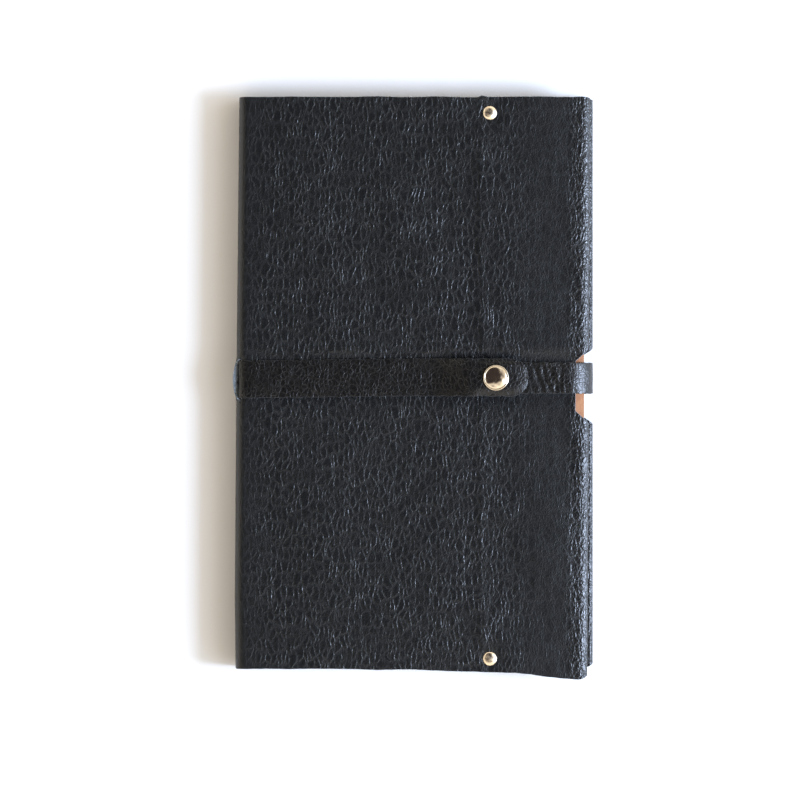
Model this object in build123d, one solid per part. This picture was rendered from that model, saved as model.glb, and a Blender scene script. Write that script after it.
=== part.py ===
from build123d import *
import os

# A soft leather cover that wraps a slim kraft notebook, closed by a leather belt with a snap.
# +X points to the fore edge, +Y to the head of the page and +Z out of the front cover.
# The origin is under the middle of the closed cover, on the surface that it lies on. Millimetres.

# Driving dimensions
leather = 1.2                    # thickness of the hide, for the cover and the belt
spine_x = -69.3                  # outside of the spine
front_fore_x = 67.9              # outside of the front cover's folded fore edge
back_fore_x = 69.0               # outside of the back cover's folded fore edge
head_y = 113.5                   # the cover's head edge
tail_y = -109.5                  # the cover's tail edge
tail_droop = -4.0                # how far the front cover's fore corner hangs past its tail edge
turn_in_x = 25.4                 # free edge of the leather that is turned in at the fore edge
spine_bend = 3.5                 # outside radius of the leather's bend at each side of the spine
card = 0.4                       # kraft card of the notebook's cover
leaves = 2.1                     # half of the notebook's leaves, pressed
notebook_height = 210.0
notebook_middle_y = 0.9
slip = 0.15                      # room for the notebook to slide between two layers of leather
body_gap = 0.3                   # room between pieces that move apart

belt_y = 4.0                     # middle of the belt's width
belt_width = 14.4                # the belt's wide end, which comes out at the spine
tongue_width = 11.8              # the belt's narrow end, which wraps the fore edge
tab_end_x = 44.3                 # rounded end of the wide end
tab_hinge_x = 2.0                # where the wide end bends up to be unsnapped
tongue_end_x = 19.5              # end of the narrow end, under the wide end
belt_outside_x = 69.3            # outside of the belt where it wraps the fore edge
belt_corner = 4.5                # corner radius of both ends
slit_length = 15.6
slit_width = 1.6
slit_x = -67.2

notch_middle_y = 0.8             # finger-wide notch in both folded fore edges, for the belt
notch_bottom_x = 62.8
notch_half_height = 9.8          # half of the notch's height at its bottom, before its 45 degree sides

rivet_x = 29.5
rivet_head_y = 107.3
rivet_tail_y = -105.5
rivet_cap_radius = 2.8
rivet_cap_rim = 0.35
rivet_cap_rise = 0.85
rivet_post_radius = 1.0
rivet_base_radius = 2.4
rivet_base = 0.4

snap_x = 31.7
snap_cap_radius = 5.0
snap_cap_rim = 0.5
snap_cap_rise = 1.0
snap_post_radius = 1.4
snap_flange_radius = 4.0
snap_flange = 0.4
stud_radius = 1.8
stud_height = 1.5
socket_radius = 4.3
socket_height = 1.7
stud_bore = 0.6                  # depth of the bore that takes the eyelet's shank
stud_edge = 0.5                  # radius of the stud's round top
socket_roof = 0.2                # thickness of the socket's roof
rivet_socket = 0.7               # depth of the bore in a rivet's cap, from its underside
running_clearance = 0.1
hole_clearance = 0.1
press = 0.01                     # clearance of a post that is pressed into its bore
joint_gap = 0.05                 # gap where one hide or one strap is split into two pieces

sheet_corner = 5.0               # corner radius of the notebook's card and leaves
leaf_inset = 0.3                 # how far the leaves stand inside the card at head and tail
fold_width = 1.75                # width of the leaves' folded root
stitch_count = 14
stitch_share = 0.64              # share of the pitch that one stitch covers
stitch_size = 0.5                # width of a stitch across the fold
stitch_rise = 0.25               # how far a stitch stands off the fold

# Layers, from the surface up
belt_top = leather
back_outside = belt_top
back_inside = back_outside + leather
back_card = back_inside + slip
back_turn_in = back_card + card + slip
back_leaves = back_turn_in + leather + slip
middle_z = back_leaves + leaves + body_gap / 2
front_outside = 2 * middle_z - back_outside

card_spine_x = spine_x + 2 * leather + 0.1
fold_x = card_spine_x + card + joint_gap
card_root_x = spine_x + 5.0      # where the card and leaves that lie flat begin
card_fore_x = front_fore_x - 1.6
leaves_fore_x = card_fore_x - leaf_inset
panel_root_x = spine_x + spine_bend
board = back_turn_in + leather - back_outside
fold_radius = board / 2
tongue_bottom = front_outside + body_gap
tongue_top = tongue_bottom + leather
socket_bottom = tongue_top + snap_flange + running_clearance
tab_bottom = socket_bottom + socket_height
tab_top = tab_bottom + leather
belt_inside_x = belt_outside_x - leather
far = 400.0                      # longer than anything here, for cutting tools


def block(x_range, y_range, z_range):
    """A rectangular solid between two corners."""
    size = [high - low for low, high in (x_range, y_range, z_range)]
    return Pos(x_range[0], y_range[0], z_range[0]) * Box(*size, align=(Align.MIN, Align.MIN, Align.MIN))


def upright(x, y, z_range, radius):
    """A cylinder that stands along Z."""
    height = z_range[1] - z_range[0]
    return Pos(x, y, z_range[0]) * Cylinder(radius, height, align=(Align.CENTER, Align.CENTER, Align.MIN))


def prism(points, z_range):
    """A solid with an outline in XY, given by its corners."""
    outline = make_face(Polyline(*points, close=True))
    return Pos(0, 0, z_range[0]) * extrude(outline, amount=z_range[1] - z_range[0])


def along_page(section, y_range):
    """A solid with an outline in XZ, which runs from the tail to the head."""
    return Pos(0, y_range[1], 0) * extrude(Plane.XZ * section, amount=y_range[1] - y_range[0])


def rectangle(x_range, z_range):
    """A rectangle in a section, between two corners."""
    size = (x_range[1] - x_range[0], z_range[1] - z_range[0])
    return Pos(x_range[0], z_range[0]) * Rectangle(*size, align=(Align.MIN, Align.MIN))


def turned_over(solid):
    """The same solid on the other side of the closed cover's middle plane."""
    return mirror(solid, about=Plane.XY.offset(middle_z))


def strap_range(width):
    """The belt's two edges, for a width."""
    return belt_y - width / 2, belt_y + width / 2


def rounded_strap(x_range, width, z_range, round_low_end):
    """A flat length of belt with rounded corners at one of its ends."""
    strap = block(x_range, strap_range(width), z_range)
    corners = strap.edges().filter_by(Axis.Z).sort_by(Axis.X)
    return fillet(corners[:2] if round_low_end else corners[2:], belt_corner)


def dome(radius, rim, rise):
    """A low round cap: a straight rim and a spherical top, standing on the XY plane."""
    ball_radius = (radius**2 + rise**2) / (2 * rise)
    ball = Pos(0, 0, rim + rise - ball_radius) * Sphere(ball_radius)
    return upright(0, 0, (0, rim + rise), radius) & (ball + upright(0, 0, (0, rim), radius))


def folded_cover(fore_x, outline):
    """The front cover: its panel, folded fore edge and turn-in, cut from one hide."""
    centre_x = fore_x - fold_radius
    top = front_outside
    bottom = top - board
    ring = Pos(centre_x, top - fold_radius) * (Circle(fold_radius) - Circle(fold_radius - leather))
    section = rectangle((panel_root_x, centre_x), (top - leather, top))
    section += rectangle((turn_in_x, centre_x), (bottom, bottom + leather))
    section += ring & rectangle((centre_x, far), (bottom, top))
    cover = along_page(section, (-far, far)) & prism(outline, (0, far))
    notch_low = notch_middle_y - notch_half_height
    notch_high = notch_middle_y + notch_half_height
    side = 10.0
    notch = prism(
        [
            (notch_bottom_x, notch_low),
            (notch_bottom_x + side, notch_low - side),
            (notch_bottom_x + side, notch_high + side),
            (notch_bottom_x, notch_high),
        ],
        (0, far),
    )
    cover -= notch
    for y in (rivet_head_y, rivet_tail_y):
        cover -= upright(rivet_x, y, (0, far), rivet_post_radius + hole_clearance)
        sunk = (bottom - 1, bottom + rivet_base)
        cover -= upright(rivet_x, y, sunk, rivet_base_radius + hole_clearance)
    return cover


def cover_front():
    """The front cover, whose fore corner hangs lower at the tail."""
    corner_y = tail_y + tail_droop
    outline = [
        (-far, head_y),
        (far, head_y),
        (far, corner_y),
        (front_fore_x - 8.0, corner_y),
        (front_fore_x - 30.0, tail_y - 1.0),
        (panel_root_x, tail_y),
        (-far, tail_y),
    ]
    return folded_cover(front_fore_x, outline)


def cover_back():
    """The back cover: the front cover's mirror image, a little wider and cut square."""
    outline = [(-far, head_y), (far, head_y), (far, tail_y), (-far, tail_y)]
    return turned_over(folded_cover(back_fore_x, outline))


def spine_range():
    """The flat part of the spine's height, clear of its two bends."""
    room = spine_bend + joint_gap
    return back_outside + room, front_outside - room


def cover_spine():
    """The flat strip of hide between the spine's two bends."""
    return block((spine_x, spine_x + leather), (tail_y, head_y), spine_range())


def spine_bend_front():
    """The bend between the spine and the front cover, with the slit that the belt comes out of."""
    centre = (spine_x + spine_bend, front_outside - spine_bend)
    ring = Pos(*centre) * (Circle(spine_bend) - Circle(spine_bend - leather))
    quarter = ring & rectangle((centre[0] - spine_bend, centre[0]), (centre[1], centre[1] + spine_bend))
    slit_range = (belt_y - slit_length / 2, belt_y + slit_length / 2)
    slit = block((slit_x - slit_width / 2, slit_x + slit_width / 2), slit_range, (centre[1], far))
    return along_page(quarter, (tail_y, head_y)) - slit


def strap_front():
    """The belt's wide end where it lies on the front cover."""
    x_range = (slit_x + slit_width / 2, tab_hinge_x)
    return block(x_range, strap_range(belt_width), (front_outside, front_outside + leather))


def strap_tab():
    """The free part of the belt's wide end, which rises over the snap and holds its cap."""
    start_x = tab_hinge_x + 2 * joint_gap
    low = front_outside
    outline = [
        (start_x, low),
        (start_x + 4, low),
        (start_x + 20, tab_bottom),
        (tab_end_x, tab_bottom),
        (tab_end_x, tab_top),
        (start_x + 20, tab_top),
        (start_x + 4, low + leather),
        (start_x, low + leather),
    ]
    section = make_face(Polyline(*outline, close=True))
    plan = rounded_strap((start_x, tab_end_x), belt_width, (0, far), False)
    tab = along_page(section, strap_range(belt_width)) & plan
    return tab - upright(snap_x, belt_y, (0, far), snap_post_radius + hole_clearance)


def strap_spine():
    """The belt inside the spine, between its two slits."""
    x_low = spine_x + leather + joint_gap
    return block((x_low, x_low + leather), strap_range(belt_width), spine_range())


def strap_back():
    """The belt under the back cover."""
    x_range = (slit_x + slit_width / 2, belt_inside_x - body_gap)
    return block(x_range, strap_range(tongue_width), (0, leather))


def strap_wrap():
    """The short upright length of belt that passes the fore edge, in the notches."""
    z_range = (belt_top + body_gap, tongue_bottom - body_gap)
    return block((belt_inside_x, belt_outside_x), strap_range(tongue_width), z_range)


def strap_tongue():
    """The belt's narrow end on the front cover, under the wide end, with the snap's stud."""
    x_range = (tongue_end_x, belt_inside_x - body_gap)
    tongue = rounded_strap(x_range, tongue_width, (tongue_bottom, tongue_top), True)
    tongue -= upright(snap_x, belt_y, (0, far), snap_post_radius + hole_clearance)
    sunk = (tongue_bottom - 1, tongue_bottom + snap_flange)
    return tongue - upright(snap_x, belt_y, sunk, snap_flange_radius + hole_clearance)


def snap_cap():
    """The snap's domed cap on the wide end, with the post that holds the socket."""
    cap = Pos(snap_x, belt_y, tab_top) * dome(snap_cap_radius, snap_cap_rim, snap_cap_rise)
    post_bottom = tab_bottom - socket_roof
    return cap + upright(snap_x, belt_y, (post_bottom, tab_top + snap_cap_rim), snap_post_radius)


def snap_socket():
    """The snap's socket under the wide end: a ring that grips the stud."""
    socket = upright(snap_x, belt_y, (socket_bottom, tab_bottom), socket_radius)
    mouth = (socket_bottom - 1, tab_bottom - socket_roof)
    socket -= upright(snap_x, belt_y, mouth, stud_radius + running_clearance)
    return socket - upright(snap_x, belt_y, (socket_bottom, far), snap_post_radius + press)


def snap_stud():
    """The snap's stud on the narrow end: a flange and a round-topped pin."""
    flange = upright(snap_x, belt_y, (tongue_top, tongue_top + snap_flange), snap_flange_radius)
    pin_top = tongue_top + snap_flange + stud_height
    pin = upright(snap_x, belt_y, (tongue_top, pin_top), stud_radius)
    pin = fillet(pin.edges().sort_by(Axis.Z)[-1], stud_edge)
    bore = upright(snap_x, belt_y, (0, tongue_top + stud_bore), snap_post_radius + press)
    return flange + pin - bore


def snap_eyelet():
    """The eyelet that fastens the stud from under the narrow end."""
    flange_range = (tongue_bottom, tongue_bottom + snap_flange)
    flange = upright(snap_x, belt_y, flange_range, snap_flange_radius)
    shank_range = (tongue_bottom, tongue_top + stud_bore)
    return flange + upright(snap_x, belt_y, shank_range, snap_post_radius)


def rivet_cap(y):
    """A rivet's domed cap, outside the front cover, with a socket for its post."""
    cap = Pos(rivet_x, y, front_outside) * dome(rivet_cap_radius, rivet_cap_rim, rivet_cap_rise)
    bore_top = front_outside + rivet_socket
    return cap - upright(rivet_x, y, (0, bore_top), rivet_post_radius + press)


def rivet_post(y):
    """A rivet's post, with its flat base sunk into the turn-in."""
    base_z = front_outside - board
    base = upright(rivet_x, y, (base_z, base_z + rivet_base), rivet_base_radius)
    return base + upright(rivet_x, y, (base_z, front_outside + rivet_socket), rivet_post_radius)


def notebook_range(inset=0.0):
    """The notebook's tail and head edges."""
    half = notebook_height / 2 - inset
    return notebook_middle_y - half, notebook_middle_y + half


def notebook_card_back():
    """The notebook's back card, tucked into the back turn-in."""
    card_range = (back_card, back_card + card)
    sheet = block((card_root_x, card_fore_x), notebook_range(), card_range)
    return fillet(sheet.edges().filter_by(Axis.Z).sort_by(Axis.X)[2:], sheet_corner)


def notebook_leaves_back():
    """The back half of the notebook's leaves."""
    leaves_range = (back_leaves, back_leaves + leaves)
    pages = block((card_root_x, leaves_fore_x), notebook_range(leaf_inset), leaves_range)
    return fillet(pages.edges().filter_by(Axis.Z).sort_by(Axis.X)[2:], sheet_corner)


def notebook_card_spine():
    """The strip of card that goes round the folded leaves at the spine."""
    low = back_turn_in + leather
    z_range = (low, 2 * middle_z - low)
    return block((card_spine_x, card_spine_x + card), notebook_range(), z_range)


def notebook_fold():
    """The folded root of the notebook's leaves, which the thread holds together."""
    low = back_leaves + 2 * joint_gap
    z_range = (low, 2 * middle_z - low)
    return block((fold_x, fold_x + fold_width), notebook_range(leaf_inset), z_range)


def notebook_thread():
    """Stitches on the inside of the notebook's fold: a row of short upright threads."""
    x_range = (fold_x + fold_width, fold_x + fold_width + stitch_rise)
    z_range = (middle_z - stitch_size / 2, middle_z + stitch_size / 2)
    pitch = notebook_height / stitch_count
    half = pitch * stitch_share / 2
    stitches = []
    for i in range(stitch_count):
        y = notebook_range()[0] + (i + 0.5) * pitch
        stitches.append(block(x_range, (y - half, y + half), z_range))
    return Compound(children=stitches)


def all_nodes():
    """Every node by name."""
    nodes = {
        "cover_front": cover_front(),
        "cover_back": cover_back(),
        "cover_spine": cover_spine(),
        "spine_bend_front": spine_bend_front(),
        "spine_bend_back": turned_over(spine_bend_front()),
        "strap_front": strap_front(),
        "strap_tab": strap_tab(),
        "strap_spine": strap_spine(),
        "strap_back": strap_back(),
        "strap_wrap": strap_wrap(),
        "strap_tongue": strap_tongue(),
        "snap_cap": snap_cap(),
        "snap_socket": snap_socket(),
        "snap_stud": snap_stud(),
        "snap_eyelet": snap_eyelet(),
        "notebook_card_front": turned_over(notebook_card_back()),
        "notebook_card_back": notebook_card_back(),
        "notebook_card_spine": notebook_card_spine(),
        "notebook_leaves_front": turned_over(notebook_leaves_back()),
        "notebook_leaves_back": notebook_leaves_back(),
        "notebook_fold": notebook_fold(),
        "notebook_thread": notebook_thread(),
    }
    for end, y in (("head", rivet_head_y), ("tail", rivet_tail_y)):
        nodes[f"rivet_cap_front_{end}"] = rivet_cap(y)
        nodes[f"rivet_post_front_{end}"] = rivet_post(y)
        nodes[f"rivet_cap_back_{end}"] = turned_over(rivet_cap(y))
        nodes[f"rivet_post_back_{end}"] = turned_over(rivet_post(y))
    return nodes


os.makedirs("parts", exist_ok=True)
for name, solid in all_nodes().items():
    export_step(solid, f"parts/{name}.step")
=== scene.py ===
"""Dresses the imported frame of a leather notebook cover: hide, belt, snap, rivets and notebook."""

import logging
import math
import random
from dataclasses import dataclass, field
from enum import Enum
from typing import Callable, Optional, Sequence

import bmesh
import bpy
import numpy as np
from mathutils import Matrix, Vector

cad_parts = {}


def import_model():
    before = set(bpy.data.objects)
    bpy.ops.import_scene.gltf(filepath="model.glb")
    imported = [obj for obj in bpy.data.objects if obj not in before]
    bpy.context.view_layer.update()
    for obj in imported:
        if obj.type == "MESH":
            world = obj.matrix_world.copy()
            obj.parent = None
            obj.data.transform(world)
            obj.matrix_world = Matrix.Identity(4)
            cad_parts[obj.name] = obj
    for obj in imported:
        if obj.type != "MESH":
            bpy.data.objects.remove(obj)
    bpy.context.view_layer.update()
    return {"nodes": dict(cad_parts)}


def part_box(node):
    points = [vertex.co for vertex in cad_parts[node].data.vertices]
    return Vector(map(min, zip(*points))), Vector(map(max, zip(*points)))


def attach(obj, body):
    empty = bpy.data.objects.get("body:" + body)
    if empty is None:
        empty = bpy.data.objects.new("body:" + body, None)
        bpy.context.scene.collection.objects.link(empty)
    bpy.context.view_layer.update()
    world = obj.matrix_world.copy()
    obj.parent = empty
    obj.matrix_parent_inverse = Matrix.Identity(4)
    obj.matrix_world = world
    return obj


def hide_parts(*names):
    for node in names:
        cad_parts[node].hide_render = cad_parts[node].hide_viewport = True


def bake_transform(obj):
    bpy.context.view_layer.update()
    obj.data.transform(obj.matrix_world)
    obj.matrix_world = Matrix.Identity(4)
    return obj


log = logging.getLogger("notebook_cover")

MM = 0.001
Array = np.ndarray
Point = tuple[float, float]

# Sizes that several pieces share, in millimetres, in the row frame: the leather's thickness, the
# height of the closed cover's middle, the spine's outside, and the snap's and the rivets' axes
LEATHER = 1.2
MIDDLE_Z = 6.7
SPINE_X = -69.3
SNAP = (31.7, 4.0)
RIVETS = ((29.5, 107.3), (29.5, -105.5))


class Slot(Enum):
    """The record's material slots."""

    COVER = "cover_leather"
    BELT = "belt_leather"
    BRASS = "pale_brass"
    KRAFT = "kraft_card"
    PAPER = "paper"
    THREAD = "thread"


class Side(Enum):
    """Which half of the closed cover a piece belongs to."""

    FRONT = "front"
    BACK = "back"


# ---------------------------------------------------------------- small helpers


def linear(code: str) -> tuple[float, float, float, float]:
    """Turns an sRGB hex colour into a linear one.

    Args:
        code: six hex digits.

    Returns:
        Red, green, blue and an alpha of one.
    """
    parts = [int(code[i : i + 2], 16) / 255 for i in (0, 2, 4)]
    low = [p / 12.92 if p <= 0.04045 else ((p + 0.055) / 1.055) ** 2.4 for p in parts]
    return low[0], low[1], low[2], 1.0


def add_node(
    tree: bpy.types.NodeTree,
    kind: str,
    settings: Optional[dict] = None,
    inputs: Optional[dict] = None,
) -> bpy.types.Node:
    """Adds a node with its settings and its inputs.

    Args:
        tree: the node tree.
        kind: the node's type name.
        settings: the node's own properties.
        inputs: a value or a socket to link, for each input's name or number.

    Returns:
        The new node.
    """
    node = tree.nodes.new(kind)
    for key, value in (settings or {}).items():
        setattr(node, key, value)
    for key, value in (inputs or {}).items():
        if isinstance(value, bpy.types.NodeSocket):
            tree.links.new(value, node.inputs[key])
        else:
            node.inputs[key].default_value = value
    return node


def ramp(low: float, high: float, value: Array) -> Array:
    """A smooth step from 0 at low to 1 at high."""
    t = np.clip((value - low) / (high - low), 0, 1)
    return t * t * (3 - 2 * t)


def plateau(rise: Point, fall: Point, value: Array) -> Array:
    """A smooth step up from 0 to 1 over one span, and down again over another."""
    return ramp(*rise, value) * (1 - ramp(*fall, value))


def bell(distance: Array, width: float) -> Array:
    """A round bump of height 1, which has faded at twice its width."""
    return np.exp(-((distance / width) ** 2))


@dataclass(frozen=True)
class Waves:
    """Gentle irregular waves, the same on every run.

    Attributes:
        across: usual wavelength along x, in millimetres.
        along: usual wavelength along y, in millimetres.
        seed: which waves these are.
        count: how many plain waves are added up.
    """

    across: float
    along: float
    seed: int
    count: int = 8

    def at(self, x: Array, y: Array) -> Array:
        """The waves' height at some points.

        Args:
            x: positions across, in millimetres.
            y: positions along, in millimetres.

        Returns:
            Heights, mostly between -1 and 1.
        """
        dice = random.Random(self.seed)
        total = np.zeros_like(x, dtype=float)
        for _ in range(self.count):
            turn = dice.uniform(0, 2 * math.pi)
            rate = dice.uniform(0.6, 1.5) * 2 * math.pi
            phase = dice.uniform(0, 2 * math.pi)
            step = math.cos(turn) * x / self.across + math.sin(turn) * y / self.along
            total += np.sin(rate * step + phase)
        return total / math.sqrt(self.count)


def object_from(name: str, mesh: bpy.types.Mesh) -> bpy.types.Object:
    """Puts a mesh in the scene as an object at the origin."""
    thing = bpy.data.objects.new(name, mesh)
    bpy.context.scene.collection.objects.link(thing)
    return thing


def object_of(name: str, work: bmesh.types.BMesh, material: Optional[bpy.types.Material] = None,
              smooth: bool = False) -> bpy.types.Object:
    """Turns worked geometry into an object at the origin.

    Args:
        name: the object's name.
        work: the geometry, which is used up.
        material: its finish, if it has one yet.
        smooth: True to shade across its edges.

    Returns:
        The object.
    """
    mesh = bpy.data.meshes.new(name)
    work.to_mesh(mesh)
    work.free()
    if smooth:
        mesh.polygons.foreach_set("use_smooth", [True] * len(mesh.polygons))
    if material:
        mesh.materials.append(material)
    return object_from(name, mesh)


# ---------------------------------------------------------------- profiles


def arc(centre: Point, radii: Point, start: float, end: float, power: float = 2.0) -> list[Point]:
    """Points on part of an ellipse, or on a squarer one.

    Args:
        centre: its centre in XZ.
        radii: its half width and half height.
        start: first angle in degrees, from +X towards +Z.
        end: last angle in degrees.
        power: 2 for an ellipse, and more for squarer corners.

    Returns:
        The points, in order.
    """
    points = []
    for angle in np.radians(np.linspace(start, end, 41)):
        c = math.cos(angle)
        s = math.sin(angle)
        x = math.copysign(abs(c) ** (2 / power), c)
        z = math.copysign(abs(s) ** (2 / power), s)
        points.append((centre[0] + radii[0] * x, centre[1] + radii[1] * z))
    return points


def rounded(points: Sequence[Point], steps: int = 12) -> list[Point]:
    """A smooth line through some points.

    Args:
        points: the points that it passes through.
        steps: how many pieces each span gets.

    Returns:
        Points along the line.
    """
    knots = np.array(points, float)
    padded = np.vstack([2 * knots[0] - knots[1], knots, 2 * knots[-1] - knots[-2]])
    line = []
    for a, b, c, d in zip(padded, padded[1:], padded[2:], padded[3:]):
        for u in np.arange(steps) / steps:
            cubic = -a + 3 * b - 3 * c + d
            square = 2 * a - 5 * b + 4 * c - d
            spot = b + 0.5 * (u * (c - a) + u * u * square + u**3 * cubic)
            line.append((float(spot[0]), float(spot[1])))
    line.append(points[-1])
    return line


class Profile:
    """A line in XZ that a strip of leather follows, measured along its length.

    The leather's outside is on the left of the line, and its length is in millimetres.
    """

    def __init__(self, points: Sequence[Point]) -> None:
        """Measures the line.

        Args:
            points: the line's points, in order.
        """
        raw = np.array(points, float)
        keep = np.r_[True, np.linalg.norm(np.diff(raw, axis=0), axis=1) > 1e-4]
        raw = raw[keep]
        length = np.r_[0, np.cumsum(np.linalg.norm(np.diff(raw, axis=0), axis=1))]
        even = np.linspace(0, length[-1], int(length[-1] / 0.1) + 2)
        line = np.stack([np.interp(even, length, raw[:, i]) for i in (0, 1)], axis=1)
        for _ in range(6):
            line[1:-1] = (line[:-2] + 2 * line[1:-1] + line[2:]) / 4
        self.line = line
        self.s = np.r_[0, np.cumsum(np.linalg.norm(np.diff(line, axis=0), axis=1))]
        along = np.gradient(line, self.s, axis=0)
        along /= np.linalg.norm(along, axis=1, keepdims=True)
        self.normal = np.stack([-along[:, 1], along[:, 0]], axis=1)

    @property
    def length(self) -> float:
        """The whole length."""
        return float(self.s[-1])

    def at(self, s: Array) -> tuple[Array, Array, Array, Array]:
        """Position and outward direction at lengths along the line.

        Args:
            s: lengths from the start.

        Returns:
            x, z and the outward direction's x and z.
        """
        found = [np.interp(s, self.s, values) for values in (*self.line.T, *self.normal.T)]
        return found[0], found[1], found[2], found[3]

    def nearest(self, x: float, z: float) -> float:
        """The length at which the line passes nearest to a point."""
        gap = np.hypot(self.line[:, 0] - x, self.line[:, 1] - z)
        return float(self.s[int(np.argmin(gap))])


def spaced(marks: Sequence[tuple[float, float]], end: float) -> Array:
    """Grid lines whose spacing changes from span to span.

    Args:
        marks: where each span starts, and the spacing in it.
        end: where the last span ends.

    Returns:
        The grid lines, each span's start and end included.
    """
    lines = []
    stops = [start for start, _ in marks[1:]] + [end]
    for (start, step), stop in zip(marks, stops):
        count = max(1, round((stop - start) / step))
        lines.extend(np.linspace(start, stop, count, endpoint=False))
    lines.append(end)
    return np.array(lines)


# ---------------------------------------------------------------- leather as cut and bent


Place = Callable[[Array, Array], tuple[Array, Array, Array]]


@dataclass
class Skin:
    """A closed piece of leather, cut flat and then laid along a profile.

    Attributes:
        name: the object's name.
        place: turns flat positions into outside points, outward directions and grain positions.
        s_lines: grid lines along the profile, in millimetres.
        t_lines: grid lines across it.
        holes: convex outlines to cut out of the flat leather.
        seams: positions along the profile where the leather goes on in another piece.
        edge_bulge: how far the cut edges swell, in millimetres.
        mirrored: True for the piece on the other side of the closed cover's middle.
        flare: how much thicker the leather is where its fibres have opened, as a share.
    """

    name: str
    place: Place
    s_lines: Array
    t_lines: Array
    holes: Sequence[Sequence[Point]] = ()
    seams: Sequence[float] = ()
    edge_bulge: float = 0.13
    mirrored: bool = False
    flare: Optional[Callable[[Array, Array], Array]] = None

    def _flat(self) -> bmesh.types.BMesh:
        """The flat grid with its holes cut out."""
        flat = bmesh.new()
        rows = [[flat.verts.new((s, t, 0)) for s in self.s_lines] for t in self.t_lines]
        for low, high in zip(rows, rows[1:]):
            for i in range(len(low) - 1):
                flat.faces.new((low[i], low[i + 1], high[i + 1], high[i]))
        for outline in self.holes:
            self._cut(flat, outline)
        flat.verts.index_update()
        return flat

    @staticmethod
    def _cut(flat: bmesh.types.BMesh, outline: Sequence[Point]) -> None:
        """Cuts one convex outline out of a flat grid.

        Args:
            flat: the grid.
            outline: the outline's corners, counter-clockwise.
        """
        corners = [Vector((s, t, 0)) for s, t in outline]
        low = [min(c[i] for c in corners) - 1.0 for i in (0, 1)]
        high = [max(c[i] for c in corners) + 1.0 for i in (0, 1)]
        for a, b in zip(corners, corners[1:] + corners[:1]):
            outward = Vector((b.y - a.y, a.x - b.x, 0)).normalized()
            near = []
            for face in flat.faces:
                middle = face.calc_center_median()
                if all(low[i] < middle[i] < high[i] for i in (0, 1)):
                    near.append(face)
            parts = set(near)
            for face in near:
                parts.update(face.edges)
                parts.update(face.verts)
            bmesh.ops.bisect_plane(flat, geom=list(parts), dist=1e-5, plane_co=a, plane_no=outward)
        sides = list(zip(corners, corners[1:] + corners[:1]))
        gone = []
        for face in flat.faces:
            m = face.calc_center_median()
            if all((b - a).cross(m - a).z > 0 for a, b in sides):
                gone.append(face)
        bmesh.ops.delete(flat, geom=gone, context="FACES")

    @staticmethod
    def _outward(outside: Array, normal: Array, rims: Sequence[tuple[int, int]]) -> Array:
        """Which way is out of the leather at its rims.

        Args:
            outside: the outside points.
            normal: the leather's outward directions.
            rims: the rim's edges, each as the numbers of its two points.

        Returns:
            A direction for every point, in the leather's surface, and zero away from the rims.
        """
        away = np.zeros_like(outside)
        for a, b in rims:
            out = np.cross(outside[b] - outside[a], (normal[a] + normal[b]) / 2)
            out /= max(np.linalg.norm(out), 1e-9)
            away[a] += out
            away[b] += out
        return away / np.maximum(np.linalg.norm(away, axis=1, keepdims=True), 1e-9)

    def build(self, materials: Sequence[bpy.types.Material]) -> bpy.types.Object:
        """Makes the piece.

        Args:
            materials: the grain side's, the flesh side's and the cut edge's.

        Returns:
            The object.
        """
        flat = self._flat()
        where = np.array([v.co[:2] for v in flat.verts], float)
        tops = [[v.index for v in f.verts] for f in flat.faces]
        rims = []
        for edge in flat.edges:
            if len(edge.link_loops) == 1:
                loop = edge.link_loops[0]
                rims.append((loop.vert.index, loop.link_loop_next.vert.index))
        flat.free()
        outside, normal, grain = self.place(where[:, 0], where[:, 1])
        count = len(where)
        ring = sorted({i for pair in rims for i in pair})
        place_of = {i: k for k, i in enumerate(ring)}
        away = self._outward(outside, normal, rims)[ring]
        swell = np.full(len(ring), self.edge_bulge)
        for seam in self.seams:
            swell[np.abs(where[ring, 0] - seam) < 1e-6] = 0
        thick = np.full((count, 1), LEATHER)
        if self.flare:
            thick += LEATHER * self.flare(where[:, 0], where[:, 1])[:, None]
        layers = [outside, outside - thick * normal]
        grains = [grain, grain]
        # The cut edge is three rows of points, which swell most in the middle of the thickness.
        edge_rows = ((0.1, 0.7), (0.5, 1.0), (0.9, 0.7))
        for depth, share in edge_rows:
            push = (swell * share)[:, None] * away
            layers.append(outside[ring] - depth * thick[ring] * normal[ring] + push)
            grains.append(grain[ring] + depth * LEATHER)
        points = np.vstack(layers) * MM
        grain_all = np.vstack(grains) * MM
        faces = list(tops)
        faces += [[i + count for i in reversed(face)] for face in tops]
        # Material 0 is the grain side, 1 the flesh side and 2 the cut edge.
        kinds = [0] * len(tops) + [1] * len(tops)
        for a, b in rims:
            levels = [(a, b)]
            for k in range(len(edge_rows)):
                base = 2 * count + k * len(ring)
                levels.append((base + place_of[a], base + place_of[b]))
            levels.append((a + count, b + count))
            for (a0, b0), (a1, b1) in zip(levels, levels[1:]):
                faces.append([b0, a0, a1, b1])
                kinds.append(2)
        if self.mirrored:
            points[:, 2] = 2 * MIDDLE_Z * MM - points[:, 2]
            faces = [list(reversed(face)) for face in faces]
        mesh = bpy.data.meshes.new(self.name)
        mesh.from_pydata(points.tolist(), [], faces)
        for material in materials:
            mesh.materials.append(material)
        mesh.polygons.foreach_set("material_index", kinds)
        mesh.polygons.foreach_set("use_smooth", [True] * len(faces))
        order = np.empty(len(mesh.loops), dtype=np.int32)
        mesh.loops.foreach_get("vertex_index", order)
        mesh.uv_layers.new(name="grain").data.foreach_set("uv", grain_all[order].ravel())
        mesh.set_sharp_from_angle(angle=math.radians(48))
        mesh.update()
        return object_from(self.name, mesh)


# ---------------------------------------------------------------- finishes


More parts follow.
